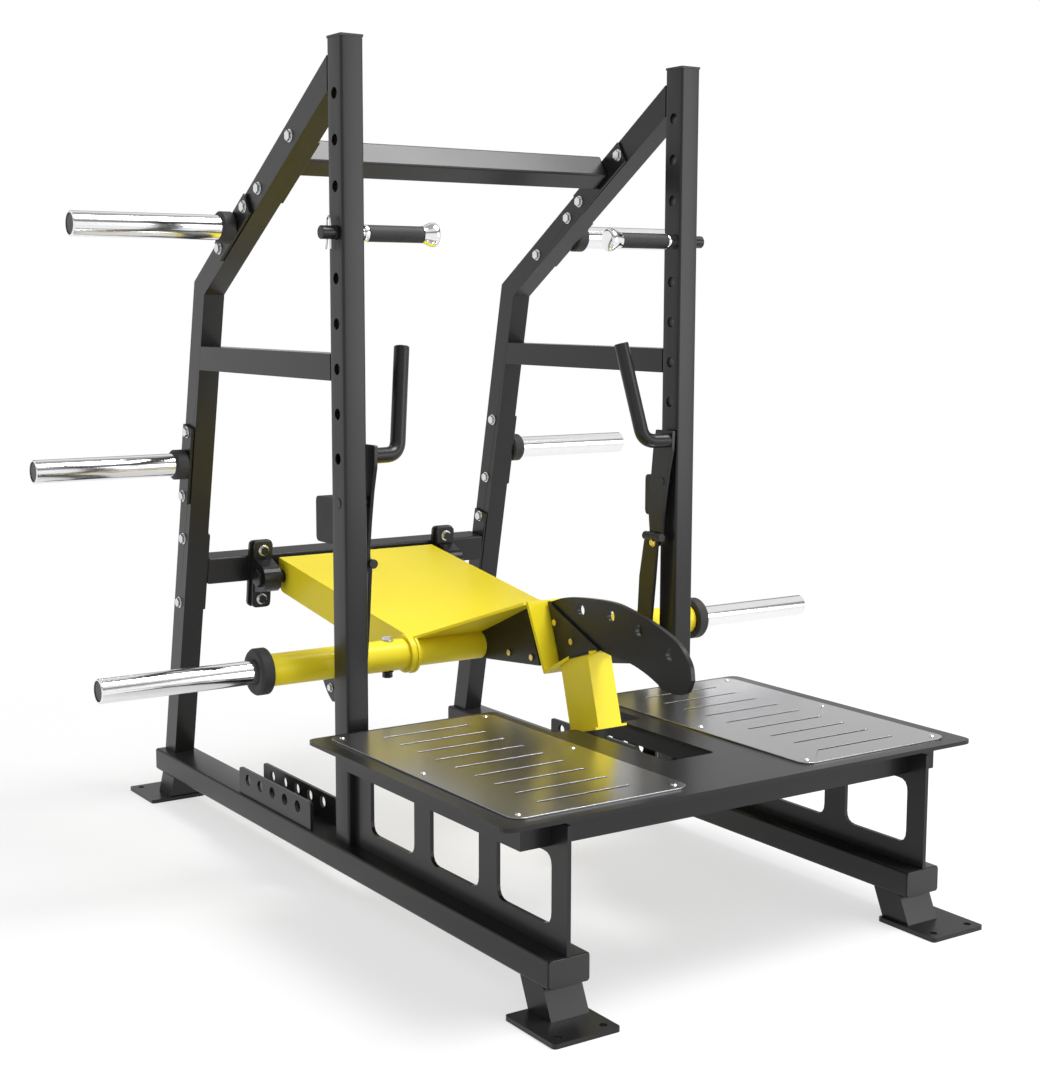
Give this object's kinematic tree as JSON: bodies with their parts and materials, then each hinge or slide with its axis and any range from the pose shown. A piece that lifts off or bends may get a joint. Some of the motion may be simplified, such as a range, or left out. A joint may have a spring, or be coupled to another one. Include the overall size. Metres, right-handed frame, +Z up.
{
  "type": "belt squat machine",
  "caption": "Plate-loaded belt squat machine: black uprights and roof tubes on floor rails, standing platform, yellow hinged loading arm, release levers and removable hand grips",
  "frame": {"origin": "on the floor, below the middle of the machine's outline", "axes": "+Z up, +Y toward the rear of the machine, away from the user, +X to the right as seen from the user's side"},
  "size_m": [1.828, 1.8674, 1.733],
  "materials": {
    "black_powder": "glossy black powder coat",
    "yellow_powder": "glossy yellow powder coat",
    "chrome": "polished chrome plate",
    "stainless": "brushed stainless sheet",
    "zinc": "zinc-plated steel",
    "rubber": "matte black rubber",
    "black_plastic": "matte black moulded plastic"
  },
  "bodies": {
    "frame": {"base_rail_l": "black_powder", "base_rail_r": "black_powder", "front_foot_l": "black_powder", "front_foot_r": "black_powder", "rear_foot_l": "black_powder", "rear_foot_r": "black_powder", "front_upright_l": "black_powder", "front_upright_r": "black_powder", "post_cap_l": "black_plastic", "post_cap_r": "black_plastic", "rear_upright_l": "black_powder", "rear_upright_r": "black_powder", "side_brace_l": "black_powder", "side_brace_r": "black_powder", "top_crossmember": "black_powder", "rear_crossmember": "black_powder", "upper_horn_bracket_l": "black_powder", "upper_horn_bracket_r": "black_powder", "middle_horn_bracket_l": "black_powder", "middle_horn_bracket_r": "black_powder", "upper_horn_l": "chrome", "upper_horn_r": "chrome", "middle_horn_l": "chrome", "middle_horn_r": "chrome", "band_plate_outer_l": "black_powder", "band_plate_inner_l": "black_powder", "band_plate_outer_r": "black_powder", "band_plate_inner_r": "black_powder", "platform_deck": "black_powder", "tread_plate_l": "stainless", "tread_plate_r": "stainless", "platform_frame": "black_powder", "platform_support_l": "black_powder", "platform_support_r": "black_powder", "bearing_block_l": "black_powder", "bearing_block_r": "black_powder", "stop_block_l": "rubber", "stop_block_r": "rubber", "lever_pin_l": "zinc", "lever_pin_r": "zinc", "grip_bar_l": "chrome", "grip_bar_r": "chrome", "grip_sleeve_l": "rubber", "grip_sleeve_r": "rubber"},
    "arm": {"arm_shell": "yellow_powder", "arm_nose": "yellow_powder", "cross_tube": "yellow_powder", "drop_tube": "yellow_powder", "drop_bumper": "rubber", "load_sleeve_l": "chrome", "load_sleeve_r": "chrome", "load_collar_l": "rubber", "load_collar_r": "rubber", "pivot_shaft": "zinc", "belt_fin": "black_powder", "fin_clamp": "black_powder"},
    "lever_l": {"release_lever_l": "black_powder"},
    "lever_r": {"release_lever_r": "black_powder"},
    "clip_l": {"grip_clip_l": "zinc"},
    "clip_r": {"grip_clip_r": "zinc"}
  },
  "joints": [
    {"name": "arm_hinge", "type": "hinge", "parent": "frame", "child": "arm", "pos_m": [0, 0.65175, 0.556], "axis": [-1, 0, 0], "range_deg": [0, 20]},
    {"name": "lever_hinge_l", "type": "hinge", "parent": "frame", "child": "lever_l", "pos_m": [-0.38, -0.07325, 0.818], "axis": [-1, 0, 0], "range_deg": [0, 18]},
    {"name": "lever_hinge_r", "type": "hinge", "parent": "frame", "child": "lever_r", "pos_m": [0.38, -0.07325, 0.818], "axis": [-1, 0, 0], "range_deg": [0, 18]},
    {"name": "clip_slide_l", "type": "slide", "parent": "frame", "child": "clip_l", "axis": [0, 0, 1], "range_m": [0, 0.04]},
    {"name": "clip_slide_r", "type": "slide", "parent": "frame", "child": "clip_r", "axis": [0, 0, 1], "range_m": [0, 0.04]}
  ]
}
